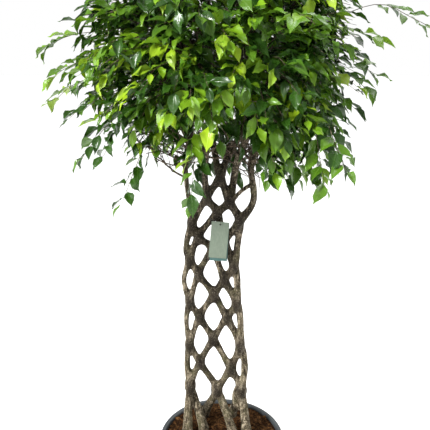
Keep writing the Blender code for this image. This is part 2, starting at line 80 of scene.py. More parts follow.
# Pot and soil, as in the solids
POT_HEIGHT = 0.340
POT_RIM_RADIUS = 0.200
POT_MOUTH_RADIUS = 0.185
POT_FOOT_RADIUS = 0.150
POT_WALL = 0.003
POT_FLOOR = 0.005
RIM_SKIRT = 0.024
POT_SECTORS = 144
RIB_HEIGHTS = (0.232, 0.076)
RIB_HALF_HEIGHT = 0.003
RIB_DEPTH = 0.001
SOIL_EDGE = 0.331
SOIL_MOUND = 0.019
SOIL_RINGS = 64
SOIL_SECTORS = 176
CHIPS = 1500
CHIP_SIZES = (0.0016, 0.0048)
FIBRES = 420
FIBRE_RADIUS = 0.00045
FIBRE_STEP = 0.0045

# Woven stems: x and height of each crossing, read upwards, one list for each column
CROSSINGS = (
    ((-0.103, 0.492), (-0.103, 0.643), (-0.101, 0.793), (-0.099, 0.933), (-0.091, 1.048)),
    ((-0.069, 0.578), (-0.070, 0.739), (-0.072, 0.885), (-0.072, 1.006), (-0.045, 1.130)),
    ((-0.016, 0.476), (-0.029, 0.663), (-0.027, 0.816), (-0.031, 0.965), (-0.016, 1.082), (-0.007, 1.192)),
    ((0.030, 0.556), (0.017, 0.737), (0.008, 0.866), (0.007, 0.994), (0.021, 1.119)),
    ((0.064, 0.472), (0.058, 0.641), (0.045, 0.788), (0.036, 0.913), (0.052, 1.057)),
)
CROSSING_ROWS = 11
ALL_CROSSINGS = sum(CROSSINGS, ())
# Where the outermost stems bow out between their crossings
LEFT_BOWS = ((-0.112, 0.577), (-0.112, 0.730), (-0.118, 0.866), (-0.110, 0.972), (-0.099, 1.118))
RIGHT_BOWS = ((0.074, 0.572), (0.058, 0.730), (0.047, 0.860), (0.047, 0.985), (0.093, 1.122))
# Feet and tops of the stems: x and y
STEM_FEET = (
    (-0.112, 0.012), (-0.060, 0.022), (-0.058, 0.094),
    (0.036, -0.006), (0.035, 0.094), (0.080, 0.010),
)
STEM_TOPS = (
    (-0.108, 0.048), (-0.051, 0.040), (-0.017, 0.062),
    (0.006, 0.052), (0.040, 0.040), (0.084, 0.052),
)
SIDE_BRANCH = ((0.028, 0.044, 1.116), (0.048, 0.036, 1.145), (0.070, 0.038, 1.162), (0.092, 0.052, 1.170))
SIDE_BRANCH_RADIUS = 0.0070
LATTICE_Y = 0.050
WEAVE_DEPTH = 0.0085
SUNK_HEIGHT = 0.300
FOOT_HEIGHT = 0.352
TOP_HEIGHT = 1.228
LIMB_FOOT_HEIGHT = 1.340
LIMB_END_HEIGHT = 1.440
LIMB_SPREAD = 0.105
STEM_STEP = 0.009
SLIM_RADIUS = 0.0090
GRAFT_RADIUS = 0.0140
GRAFT_TAPER = 0.085
LIMB_RADIUS = 0.0105
LIMB_END_RADIUS = 0.0085
FOOT_RADIUS = 0.0158
FOOT_TAPER_HEIGHT = 0.26
FOOT_FLARE = 0.0026
FOOT_FLARE_HEIGHT = 0.010
MIDDLE_SHARE = 1.03
THICKER_TO_THE_RIGHT = 1.2
RADIUS_UNEVEN = 0.06
# Webs: half sizes of the flat balls where stems have grown together, and places of the broad ones
WEB_SIZE = (0.0165, 0.0095, 0.0300)
LOW_WEB = 1.22
LOW_WEBS_BELOW = 0.5
HIGH_WEB = 0.62
HIGH_WEBS_ABOVE = 1.05
BROAD_WEBS = (((0.056, 0.446), (0.0225, 0.0125, 0.0500)), ((0.031, 0.556), (0.0185, 0.0115, 0.0350)))
BARK_VOXEL = 0.0032
RIDGE_RELIEF = 0.0010
RING_RELIEF = 0.0005
GRAIN_RELIEF = 0.0005
# Darkening near the crossings, its strength and reach: partly darker graft bark, partly painted shade
# where the stems meet
GRAFT_AND_SHADE_DARKEST = 1.25
GRAFT_AND_SHADE_REACH = 0.023

# Crown
CROWN_CENTRE = Vector((0.015, 0.045, 1.570))
CROWN_HALF_WIDTH_LEFT = 0.405
CROWN_HALF_WIDTH_RIGHT = 0.335
CROWN_HALF_DEPTH = 0.385
CROWN_ABOVE = 0.350
CROWN_BELOW_LEFT = 0.310
CROWN_BELOW_RIGHT = 0.420
FRONT_RAISED = 0.080
HEADS = {
    "crown_left": 180,
    "crown_front_left": 240,
    "crown_back_left": 120,
    "crown_back_right": 60,
    "crown_front_right": 300,
    "crown_right": 0,
}
HEAD_ANGLE = 60
BOUGHS_PER_HEAD = 9
BOUGH_RADIUS = 0.0062
# Twigs: how many, and from where to where their tips reach, as shares of the crown's reach
TWIG_LAYERS = ((640, 0.86, 1.04), (230, 0.58, 0.80))
TWIG_RADIUS = 0.0017
TWIGS_ABOVE = 1.20
FRONT_TWIGS_ABOVE = 1.365
BACK_TWIGS_LOWER = 0.06
OVER_STEMS = 0.12
YOUNG_TWIG_SHARE = 0.19
YOUNG_TWIG = 0.62
OLDER_TWIGS_UP_TO = 0.44
BARE_TWIGS_PER_HEAD = 16
BARE_TWIG_RADII = (0.0013, 0.0028)
BARE_BRANCH_RADIUS = 0.0034
SPUR_RADIUS = 0.0016
# Bare branches: the knots of each, under the head that it belongs to
BARE_BRANCHES = {
    "crown_left": (
        ((-0.110, 0.047, 1.180), (-0.165, 0.040, 1.232), (-0.215, 0.030, 1.290)),
        ((-0.110, 0.048, 1.215), (-0.150, 0.010, 1.262), (-0.235, -0.010, 1.300)),
    ),
    "crown_front_left": (
        ((-0.048, 0.023, 1.250), (0.000, -0.022, 1.262), (0.044, -0.014, 1.232), (0.090, 0.005, 1.212)),
        ((-0.046, 0.012, 1.265), (-0.007, -0.035, 1.297), (0.076, -0.030, 1.290)),
    ),
    "crown_front_right": (
        ((0.049, 0.012, 1.265), (0.000, -0.040, 1.285), (-0.050, -0.050, 1.320)),
        ((0.053, 0.000, 1.280), (0.074, -0.032, 1.262), (0.064, -0.030, 1.325)),
        ((0.056, -0.010, 1.295), (0.070, -0.042, 1.262), (0.080, -0.030, 1.226)),
        ((0.050, 0.010, 1.268), (0.062, -0.028, 1.250), (0.088, -0.020, 1.240), (0.100, -0.030, 1.275)),
    ),
}
LEAF_LENGTH = 0.060
LEAF_WIDTH = 0.032
LEAF_THICKNESS = 0.0004
LEAF_SPACING = 0.0190
LEAFY_SHARE = 0.80
LEAFLESS_FOOT = 0.012
LEAF_KINDS = 18
PETIOLE = 0.15
# How twigs and shoots arch, how loosely their leaves point, how many hang, and how small they are
CROWN_TWIG = {"arch": 0.10, "loose": 0.40, "hanging": 0.22, "smallest": 0.52}
SHOOT = {"arch": 0.14, "loose": 0.20, "hanging": 0.10, "smallest": 0.76}
LARGEST_LEAF = 1.08
END_LEAF = 0.80
# The blade: places along it with the width there, and places across it, all as shares
LEAF_STATIONS = ((0.07, 0.30), (0.24, 0.80), (0.46, 1.00), (0.69, 0.66), (0.87, 0.18))
ACROSS = (-1.0, -0.55, 0.0, 0.55, 1.0)
# Ages up to which a leaf is deep, mid and bright green
AGE_LIMITS = (0.30, 0.52, 0.74)
# The crown's sparse edge, beyond this x and height, keeps this share of its leaves
SPARSE_EDGE_FROM = 0.275
SPARSE_EDGE_ABOVE = 1.38
SPARSE_EDGE_SHARE = 0.45
# How far a leaf may reach past the box of the solids
PAST_THE_SOLIDS = 0.02
# Shoots, leafy this far back from the tip: where the tip is, and how young the leaves are
LONG_SHOOTS_LEAFY = 0.24
LONG_SHOOTS = (
    ((-0.478, 0.030, 1.560), 0.45), ((-0.448, -0.060, 1.480), 0.50),
    ((-0.485, 0.090, 1.410), 0.55), ((-0.432, 0.030, 1.365), 0.16),
    ((-0.430, 0.080, 1.490), 0.40), ((-0.092, -0.085, 1.145), 0.14),
    ((-0.330, -0.020, 1.270), 0.14), ((-0.275, -0.090, 1.150), 0.22),
    ((-0.345, -0.220, 1.300), 0.14), ((-0.300, 0.480, 1.500), 0.30),
    ((-0.160, 0.420, 1.240), 0.30), ((0.250, 0.500, 1.620), 0.40),
    ((0.220, 0.380, 1.230), 0.30), ((0.166, -0.100, 1.205), 0.22),
    ((0.205, -0.060, 1.215), 0.26), ((0.130, -0.140, 1.250), 0.28),
    ((0.250, -0.020, 1.200), 0.22), ((0.285, -0.280, 1.280), 0.22),
    ((0.255, -0.200, 1.220), 0.24), ((0.170, -0.440, 1.600), 0.40),
    ((0.618, 0.060, 1.585), 0.42), ((0.402, 0.000, 1.575), 0.45),
    ((0.398, 0.080, 1.520), 0.20), ((0.402, -0.020, 1.490), 0.35),
    ((0.378, -0.060, 1.450), 0.30), ((0.368, 0.000, 1.390), 0.20),
    ((0.365, 0.100, 1.245), 0.20),
)
SHORT_SHOOTS_LEAFY = 0.10
SHORT_SHOOTS = (
    ((-0.085, -0.120, 1.276), 0.66), ((-0.064, -0.090, 1.300), 0.40),
    ((-0.068, 0.140, 1.190), 0.08), ((-0.085, 0.120, 1.230), 0.20),
    ((-0.030, 0.160, 1.225), 0.05), ((0.030, 0.150, 1.215), 0.10),
    ((0.056, 0.140, 1.180), 0.16), ((0.075, 0.160, 1.230), 0.05),
    ((0.012, 0.190, 1.260), 0.22), ((-0.010, -0.110, 1.330), 0.25),
    ((0.045, -0.120, 1.320), 0.18), ((0.000, 0.170, 1.330), 0.08),
    ((0.050, 0.180, 1.350), 0.12), ((-0.050, 0.170, 1.340), 0.05),
    ((0.020, 0.150, 1.385), 0.10), ((0.015, 0.045, 1.885), 0.30),
    ((-0.035, 0.075, 1.865), 0.45), ((0.060, 0.080, 1.870), 0.15),
    ((0.010, 0.000, 1.865), 0.35), ((-0.010, 0.110, 1.870), 0.25),
    ((-0.005, 0.085, 1.850), 0.50), ((-0.020, 0.055, 1.835), 0.20),
)

# Colours, where there are several from dark to light
# The bark's pale row is used low down and on the outer stems, where it is painted light from the side
# lamps
PALE_AND_LIT_SHADES = ((0.016, 0.012, 0.006), (0.118, 0.093, 0.057), (0.500, 0.428, 0.308))
STEM_SHADES = ((0.005, 0.003, 0.002), (0.038, 0.029, 0.017), (0.330, 0.272, 0.190))
TWIG_SHADES = ((0.012, 0.008, 0.005), (0.078, 0.054, 0.036), (0.340, 0.262, 0.190))
# Bark near the crossings: partly darker graft bark, partly painted shade where the stems meet
GRAFT_AND_PAINTED_SHADE = (0.014, 0.010, 0.006)
RING_SHADE = (0.035, 0.026, 0.017)
PORE_SHADE = (0.48, 0.43, 0.34)
MOSS = (0.085, 0.082, 0.034)
SOIL_SHADES = {
    "soil": ((0.008, 0.0035, 0.0015), (0.047, 0.020, 0.007)),
    "soil_chips": ((0.019, 0.008, 0.003), (0.094, 0.039, 0.013)),
    "soil_fibres": ((0.056, 0.026, 0.009), (0.172, 0.088, 0.033)),
}
# Leaves from old to young: blade, its paler marks, and roughness
LEAF_SHADES = {
    "leaf_deep": ((0.019, 0.066, 0.005), (0.060, 0.140, 0.016), 0.28),
    "leaf_mid": ((0.078, 0.185, 0.008), (0.140, 0.270, 0.022), 0.30),
    "leaf_bright": ((0.170, 0.335, 0.010), (0.260, 0.430, 0.026), 0.32),
    "leaf_young": ((0.310, 0.485, 0.012), (0.420, 0.590, 0.036), 0.36),
}
CARD_SHADES = ((0.152, 0.187, 0.141), (0.250, 0.292, 0.231))
BACK_CARD_SHADES = ((0.050, 0.110, 0.100), (0.090, 0.160, 0.150))


# Helpers


def add_to_scene(name, data):
    made = bpy.data.objects.new(name, data)
    bpy.context.scene.collection.objects.link(made)
    return made


def mesh_piece(name, mesh, materials, slot, *nodes):
    """A piece of the plant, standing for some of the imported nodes."""
    piece = add_to_scene(name, mesh)
    for surface in materials:
        mesh.materials.append(surface)
    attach(piece, "root")
    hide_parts(*nodes)
    return piece


def scatter(draw, size):
    return Vector(draw.uniform(-size, size) for _ in range(3))


def around(angle, reach, height):
    """The place at this angle, distance from the Z axis and height."""
    return Vector((math.cos(angle) * reach, math.sin(angle) * reach, height))


def smooth_path(knots, step):
    """Points about one step apart on a Catmull-Rom curve through the knots."""
    knots = [Vector(knot) for knot in knots]
    ends = [2 * knots[0] - knots[1], *knots, 2 * knots[-1] - knots[-2]]
    points = []
    for before, start, end, after in zip(ends, ends[1:], ends[2:], ends[3:]):
        pieces = max(1, round((end - start).length / step))
        bend = 2 * before - 5 * start + 4 * end - after
        swing = 3 * start - before - 3 * end + after
        for i in range(pieces):
            t = i / pieces
            points.append(0.5 * (2 * start + (end - before) * t + bend * t**2 + swing * t**3))
    points.append(knots[-1])
    return points


def add_tube(corners, faces, points, radii, sides):
    """Adds a tube with closed ends to lists of corners and faces."""
    base = len(corners)
    side = (points[1] - points[0]).orthogonal().normalized()
    for i, (place, radius) in enumerate(zip(points, radii)):
        run = (points[min(i + 1, len(points) - 1)] - points[max(i - 1, 0)]).normalized()
        side = (side - run * side.dot(run)).normalized()
        other = run.cross(side)
        for k in range(sides):
            angle = 2 * math.pi * k / sides
            corners.append(place + (side * math.cos(angle) + other * math.sin(angle)) * radius)
    for i in range(len(points) - 1):
        for k in range(sides):
            a, b = base + i * sides + k, base + i * sides + (k + 1) % sides
            faces.append((a, b, b + sides, a + sides))
    faces.append(tuple(base + k for k in reversed(range(sides))))
    last = base + (len(points) - 1) * sides
    faces.append(tuple(last + k for k in range(sides)))


def mesh_from(name, corners, faces):
    """A mesh of the corners and faces."""
    mesh = bpy.data.meshes.new(name)
    mesh.from_pydata([tuple(corner) for corner in corners], [], faces)
    mesh.update()
    return mesh


def ball(detail, radius):
    """Corners and faces of a ball of triangles."""
    shape = bmesh.new()
    bmesh.ops.create_icosphere(shape, subdivisions=detail, radius=radius)
    corners = [vertex.co.copy() for vertex in shape.verts]
    faces = [[vertex.index for vertex in face.verts] for face in shape.faces]
    shape.free()
    return corners, faces


# Materials


class Surface:
    """A Principled material, and short calls that add nodes to it."""

    def __init__(self, name, roughness, specular=0.5):
        self.material = bpy.data.materials.new(name)
        self.material.use_nodes = True
        self.nodes = self.material.node_tree.nodes
        self.links = self.material.node_tree.links
        self.shader = self.nodes["Principled BSDF"]
        self.shader.inputs["Roughness"].default_value = roughness
        self.shader.inputs["Specular IOR Level"].default_value = specular
        self.coords = self.nodes.new("ShaderNodeTexCoord")

    def fill(self, sockets, values):
        """Links the values that come from a node, and sets the plain ones."""
        for socket, value in zip(sockets, values):
            if isinstance(value, bpy.types.NodeSocket):
                self.links.new(value, socket)
            else:
                socket.default_value = (*value, 1.0) if isinstance(value, tuple) else value

    def stretched(self, scale):
        mapping = self.nodes.new("ShaderNodeMapping")
        mapping.inputs["Scale"].default_value = scale
        self.links.new(self.coords.outputs["Object"], mapping.inputs["Vector"])
        return mapping.outputs["Vector"]

    def noise(self, scale, detail=4.0, roughness=0.6, vector=None, distortion=0.0):
        made = self.nodes.new("ShaderNodeTexNoise")
        vector = vector or self.coords.outputs["Object"]
        names = ("Scale", "Detail", "Roughness", "Distortion", "Vector")
        self.fill([made.inputs[name] for name in names], (scale, detail, roughness, distortion, vector))
        return made.outputs["Fac"]

    def ramp(self, value, *stops):
        made = self.nodes.new("ShaderNodeValToRGB")
        while len(made.color_ramp.elements) < len(stops):
            made.color_ramp.elements.new(0.5)
        for element, (place, colour) in zip(made.color_ramp.elements, stops):
            element.position = place
            if not isinstance(colour, tuple):
                colour = (colour, colour, colour)
            element.color = (*colour, 1.0)
        self.links.new(value, made.inputs["Fac"])
        return made.outputs["Color"]

    def mix(self, factor, first, second):
        made = self.nodes.new("ShaderNodeMix")
        made.data_type = "RGBA"
        self.fill((made.inputs[0], made.inputs[6], made.inputs[7]), (factor, first, second))
        return made.outputs[2]

    def math(self, operation, first, second=0.0):
        made = self.nodes.new("ShaderNodeMath")
        made.operation = operation
        self.fill(made.inputs, (first, second))
        return made.outputs[0]

    def plus(self, first, second):
        return self.math("ADD", first, second)

    def times(self, first, second):
        return self.math("MULTIPLY", first, second)

    def parts(self, vector):
        made = self.nodes.new("ShaderNodeSeparateXYZ")
        self.links.new(vector, made.inputs[0])
        return made.outputs

    def attribute(self, name):
        made = self.nodes.new("ShaderNodeAttribute")
        made.attribute_name = name
        return made.outputs["Fac"]

    def colour(self, value):
        self.links.new(value, self.shader.inputs["Base Color"])

    def roughness(self, value):
        self.links.new(value, self.shader.inputs["Roughness"])

    def bump(self, height, depth, strength=1.0):
        made = self.nodes.new("ShaderNodeBump")
        made.inputs["Strength"].default_value = strength
        made.inputs["Distance"].default_value = depth
        self.links.new(height, made.inputs["Height"])
        self.links.new(made.outputs["Normal"], self.shader.inputs["Normal"])


def plastic_surface():
    """Dark blue-grey plastic with specks and upright scuffs."""
    made = Surface("pot_plastic", 0.42, 0.4)
    specks = made.noise(900.0, 2.0)
    scuffs = made.noise(14.0, 6.0, 0.7, made.stretched((1.0, 1.0, 0.25)))
    tone = made.ramp(scuffs, (0.35, (0.027, 0.032, 0.035)), (0.70, (0.050, 0.057, 0.061)))
    made.colour(made.mix(made.ramp(specks, (0.45, 0.0), (0.75, 0.25)), tone, (0.085, 0.090, 0.095)))
    made.roughness(made.ramp(scuffs, (0.30, 0.36), (0.75, 0.58)))
    made.bump(specks, 0.0002, 0.25)
    return made.material


def bark_surface(name, shades):
    """Pale low down and at the sides, darker above, with streaks, mottling, rings and pores. The pale
    sides are painted light from the side lamps, the dark above is partly painted shade under the crown,
    and the dark near the crossings is partly graft bark, partly painted shade.
    """
    made = Surface(name, 0.8, 0.2)
    streaks = made.noise(120.0, 6.0, 0.7, made.stretched((1.0, 1.0, 0.25)))
    mottle = made.noise(240.0, 5.0, 0.62)
    blotches = made.noise(17.0, 5.0, 0.6)
    rings = made.noise(60.0, 5.0, 0.65, made.stretched((0.22, 0.22, 3.2)), 0.6)
    pores = made.noise(420.0, 2.0, 0.5)
    grain = made.plus(made.times(streaks, 0.55), made.times(mottle, 0.30))
    grain = made.plus(grain, made.times(blotches, 0.15))
    pale = made.ramp(grain, *zip((0.425, 0.505, 0.600), PALE_AND_LIT_SHADES))
    dark = made.ramp(grain, *zip((0.430, 0.505, 0.605), shades))
    level, _, height = made.parts(made.coords.outputs["Object"])
    rise = made.plus(height, made.times(blotches, 0.50))
    # The outer stems turn pale as painted light from the side lamps; higher up the bark turns dark, partly
    # as painted shade under the crown
    outer = made.math("ABSOLUTE", made.plus(level, 0.03))
    rise = made.math("SUBTRACT", rise, made.times(outer, 4.0))
    dark_and_shade_share = made.math("DIVIDE", made.math("SUBTRACT", rise, 0.40), 0.60)
    body = made.mix(made.math("MINIMUM", made.math("MAXIMUM", dark_and_shade_share, 0.0), 1.0), pale, dark)
    moss = made.ramp(made.noise(26.0, 4.0, 0.6), (0.48, 0.0), (0.66, 0.45))
    body = made.mix(moss, body, MOSS)
    # Darker near the crossings: partly darker graft bark, partly painted shade where the stems meet
    body = made.mix(made.times(made.attribute("graft_and_shade"), 0.90), body, GRAFT_AND_PAINTED_SHADE)
    body = made.mix(made.ramp(rings, (0.54, 0.0), (0.68, 0.60)), body, RING_SHADE)
    body = made.mix(made.ramp(pores, (0.64, 0.0), (0.72, 0.50)), body, PORE_SHADE)
    made.colour(body)
    relief = made.plus(made.times(grain, 1.2), made.times(rings, -0.5))
    made.bump(made.plus(relief, made.times(pores, 0.15)), 0.0045, 1.0)
    made.roughness(made.ramp(grain, (0.40, 0.92), (0.62, 0.70)))
    return made.material


def leaf_surface(name, base, paler, roughness):
    """A glossy blade with a pale midrib and side veins. Its UV map runs across and along it."""
    made = Surface(name, roughness, 0.42)
    across, along, _ = made.parts(made.coords.outputs["UV"])
    tone = made.attribute("tone")
    off_rib = made.math("ABSOLUTE", made.math("SUBTRACT", across, 0.5))
    rib = made.ramp(off_rib, (0.0, 1.0), (0.035, 0.0))
    slanted = made.math("SUBTRACT", along, made.times(off_rib, 0.55))
    wave = made.math("SINE", made.times(slanted, 62.0))
    veins = made.ramp(wave, (0.72, 0.0), (1.0, 1.0))
    patches = made.noise(9.0, 3.0, 0.6)
    mottle = made.noise(70.0, 3.0, 0.6)
    deeper = tuple(c * share for c, share in zip(base, (0.45, 0.55, 0.60)))
    shift = made.plus(made.times(patches, 0.5), made.times(tone, 0.5))
    body = made.mix(made.ramp(shift, (0.30, 0.0), (0.72, 1.0)), base, deeper)
    for marks, strength in ((mottle, 0.35), (veins, 0.16), (rib, 0.55)):
        body = made.mix(made.times(marks, strength), body, paler)
    made.colour(body)
    made.roughness(made.ramp(mottle, (0.30, roughness - 0.08), (0.70, roughness + 0.08)))
    puckers = made.plus(made.times(veins, -0.4), made.times(mottle, 0.5))
    made.bump(made.plus(puckers, made.times(rib, -1.0)), 0.0006, 0.6)
    return made.material


def soil_surface(name, low, high):
    """Damp and rough, from the dark shade in its hollows to the light one."""
    made = Surface(name, 0.95, 0.06)
    clods = made.noise(95.0, 8.0, 0.75)
    fine = made.noise(420.0, 4.0, 0.7)
    tone = made.ramp(clods, (0.34, low), (0.66, high))
    made.colour(made.mix(made.times(fine, 0.6), tone, low))
    made.roughness(made.ramp(clods, (0.34, 0.98), (0.66, 0.84)))
    made.bump(made.plus(clods, made.times(fine, 0.4)), 0.004, 0.9)
    return made.material


def card_surface(name, base, fibre):
    """Matt card with a fine upright grain."""
    made = Surface(name, 0.62, 0.3)
    grain = made.noise(240.0, 5.0, 0.7, made.stretched((1.0, 1.0, 0.35)))
    cloud = made.noise(28.0, 3.0, 0.5)
    tone = made.mix(made.ramp(cloud, (0.3, 0.0), (0.7, 1.0)), base, tuple(c * 0.90 for c in base))
    made.colour(made.mix(made.ramp(grain, (0.45, 0.0), (0.75, 0.35)), tone, fibre))
    made.roughness(made.ramp(grain, (0.35, 0.55), (0.75, 0.70)))
    made.bump(grain, 0.0002, 0.35)
    return made.material


def cord_surface():
    """Dark twisted cord."""
    made = Surface("tie_cord", 0.7, 0.3)
    twist = made.noise(900.0, 3.0, 0.6, made.stretched((1.0, 1.0, 3.0)))
    made.colour(made.ramp(twist, (0.35, (0.018, 0.018, 0.017)), (0.70, (0.070, 0.068, 0.060))))
    made.roughness(made.ramp(twist, (0.35, 0.60), (0.70, 0.80)))
    made.bump(twist, 0.0002, 0.6)
    return made.material


# Stage, light and camera


def set_camera():
    camera = add_to_scene("camera", bpy.data.cameras.new("camera"))
    camera.location = EYE
    camera.rotation_euler = (math.pi / 2 - LOOK_DOWN, 0.0, 0.0)
    camera.data.sensor_width = SENSOR
    camera.data.lens = FOCAL_PIXELS / PICTURE * SENSOR
    camera.data.clip_end = 200.0
    bpy.context.scene.camera = camera
    bpy.context.scene.view_settings.view_transform = "Standard"


def set_floor():
    floor = Surface("floor_pale", 0.9, 0.2)
    grain = floor.noise(3.0, 3.0)
    floor.colour(floor.ramp(grain, (0.3, (0.90, 0.90, 0.90)), (0.7, (0.93, 0.93, 0.93))))
    mesh = bpy.data.meshes.new("floor")
    shape = bmesh.new()
    bmesh.ops.create_grid(shape, x_segments=8, y_segments=8, size=30.0)
    shape.to_mesh(mesh)
    shape.free()
    mesh.materials.append(floor.material)
    ground = add_to_scene("floor", mesh)


def set_world():
    """A white backdrop for the camera. What lights the plant is a dome, brightest at the window."""
    world = bpy.data.worlds.new("studio")
    bpy.context.scene.world = world
    world.use_nodes = True
    nodes, links = world.node_tree.nodes, world.node_tree.links
    coords = nodes.new("ShaderNodeTexCoord")
    facing = nodes.new("ShaderNodeVectorMath")
    facing.operation = "DOT_PRODUCT"
    facing.inputs[1].default_value = Vector(WINDOW_WAY).normalized()
    links.new(coords.outputs["Generated"], facing.inputs[0])
    dome = nodes.new("ShaderNodeMapRange")
    dome.inputs["From Min"].default_value = DOME_FROM
    dome.inputs["To Min"].default_value = DOME_DARK
    dome.inputs["To Max"].default_value = DOME_LIGHT
    links.new(facing.outputs["Value"], dome.inputs["Value"])
    glow, white = nodes["Background"], nodes.new("ShaderNodeBackground")
    for background in (glow, white):
        background.inputs["Color"].default_value = (1.0, 1.0, 1.0, 1.0)
    links.new(dome.outputs["Result"], glow.inputs["Strength"])
    white.inputs["Strength"].default_value = 1.0
    seen = nodes.new("ShaderNodeLightPath")
    choice = nodes.new("ShaderNodeMixShader")
    links.new(seen.outputs["Is Camera Ray"], choice.inputs[0])
    links.new(glow.outputs[0], choice.inputs[1])
    links.new(white.outputs[0], choice.inputs[2])
    links.new(choice.outputs[0], nodes["World Output"].inputs["Surface"])


def set_lights():
    for kind, name, place, target, energy, size in LIGHTS:
        light = bpy.data.lights.new(name, kind)
        light.energy = energy
        if kind == "SUN":
            light.angle = size
        else:
            light.size = size
        lamp = add_to_scene(name, light)
        lamp.location = place
        lamp.rotation_euler = (Vector(target) - lamp.location).to_track_quat("-Z", "Y").to_euler()


# Pot and soil


def turned_mesh(name, profile, steps):
    """The profile of radius and height pairs turned round the Z axis."""
    corners, faces, rings = [], [], []
    for radius, height in profile:
        if radius < 1e-6:
            rings.append([len(corners)] * steps)
            corners.append(Vector((0.0, 0.0, height)))
            continue
        rings.append([len(corners) + k for k in range(steps)])
        for k in range(steps):
            corners.append(around(2 * math.pi * k / steps, radius, height))
    for low, high in zip(rings, rings[1:]):
        for k in range(steps):
            face = (low[k], high[k], high[(k + 1) % steps], low[(k + 1) % steps])
            faces.append(tuple(dict.fromkeys(face)))
    return mesh_from(name, corners, faces)


def inner_radius(height):
    """The radius of the wall's inner side."""
    foot = POT_FOOT_RADIUS - POT_WALL
    return foot + (POT_MOUTH_RADIUS - foot) * height / POT_HEIGHT


def make_pot(surface):
    """One closed skin: inside, rolled rim with its skirt, outer wall with two ribs, underside."""
    top, wall, mouth, rim, foot = POT_HEIGHT, POT_WALL, POT_MOUTH_RADIUS, POT_RIM_RADIUS, POT_FOOT_RADIUS
    skirt = top - RIM_SKIRT
    profile = [
        (0.0, POT_FLOOR),
        (inner_radius(POT_FLOOR) - 0.004, POT_FLOOR),
        (inner_radius(POT_FLOOR), POT_FLOOR + 0.004),
        *((inner_radius(height), height) for height in (0.10, 0.20, 0.30, 0.332)),
        (mouth + 0.0008, top - 0.0022),
        (mouth + 0.0026, top - 0.0006),
        (mouth + 0.0050, top),
        (rim - 0.0040, top),
        (rim - 0.0014, top - 0.0007),
        (rim - 0.0003, top - 0.0024),
        (rim, top - 0.006),
        (rim - 0.0004, skirt + 0.0012),
        (rim - 0.0015, skirt),
        (rim - wall, skirt + 0.0006),
        (rim - wall, top - wall - 0.001),
        (rim - 0.006, top - wall),
        (inner_radius(top - wall) + wall, top - wall - 0.001),
        *((inner_radius(height) + wall, height) for height in (0.30, 0.24)),
    ]
    for rib in RIB_HEIGHTS:
        side = inner_radius(rib) + wall
        profile += [(side, rib + RIB_HALF_HEIGHT), (side + RIB_DEPTH, rib), (side, rib - RIB_HALF_HEIGHT)]
    profile += [(foot + 0.0006, 0.008), (foot - 0.0012, 0.002), (foot - 0.004, 0.0), (0.0, 0.0)]
    mesh = turned_mesh("nursery_pot", profile, POT_SECTORS)
    mesh.shade_smooth()
    mesh.set_sharp_from_angle(angle=math.radians(50))
    mesh_piece("nursery_pot", mesh, [surface], "pot_plastic", "pot")


def soil_height(x, y):
    """A low mound under the stems, with clods of three sizes."""
    share = min(1.0, math.hypot(x, y - LATTICE_Y / 2) / POT_MOUTH_RADIUS)
    mound = SOIL_MOUND * 0.5 * (1 + math.cos(math.pi * share))
    place = Vector((x, y, 0.0))
    bumps = 0.0035 * noise.noise(place * 38) + 0.0022 * noise.noise(place * 95)
    return SOIL_EDGE + mound + bumps + 0.0012 * noise.noise(place * 240)


def soil_spot(reach, draw):
    """A place on the soil, up to this far from the pot's axis."""
    out, angle = reach * math.sqrt(draw.random()), draw.uniform(0, 2 * math.pi)
    return out * math.cos(angle), out * math.sin(angle)


def add_chip(corners, faces, marks, side, draw):
    """A flattened lump of bark, half sunk in the soil."""
    x, y = soil_spot(side * 0.985, draw)
    size = draw.uniform(*CHIP_SIZES) * (1.5 if draw.random() < 0.10 else 1.0)
    long = draw.uniform(1.1, 2.6)
    turn = Matrix.Rotation(draw.uniform(0, 2 * math.pi), 4, "Z")
    turn = turn @ Matrix.Rotation(draw.uniform(-0.6, 0.6), 4, "X")
    base, (lump, lump_faces) = len(corners), ball(1, size)
    for corner in lump:
        warped = corner * draw.uniform(0.65, 1.15)
        warped = Vector((warped.x * long, warped.y, warped.z * 0.6))
        corners.append(turn @ warped + Vector((x, y, soil_height(x, y) + size * 0.2)))
    for face in lump_faces:
        faces.append(tuple(base + index for index in face))
        marks.append(1 if draw.random() < 0.6 else 2)


def add_fibre(corners, faces, marks, side, draw):
    """A bent coir fibre that lies on the soil. One that would cross the pot's wall ends there."""
    (x, y), points = soil_spot(side * 0.96, draw), []
    heading, bend = draw.uniform(0, 2 * math.pi), draw.uniform(-0.9, 0.9)
    for i in range(6):
        if math.hypot(x, y) > side * 0.985:
            break
        lift = 0.0010 + 0.0022 * math.sin(math.pi * i / 5)
        points.append(Vector((x, y, soil_height(x, y) + lift)))
        x += math.cos(heading) * FIBRE_STEP
        y += math.sin(heading) * FIBRE_STEP
        heading += bend * 0.35
    if len(points) > 2:
        before = len(faces)
        add_tube(corners, faces, points, [FIBRE_RADIUS] * len(points), 3)
        marks += [2] * (len(faces) - before)


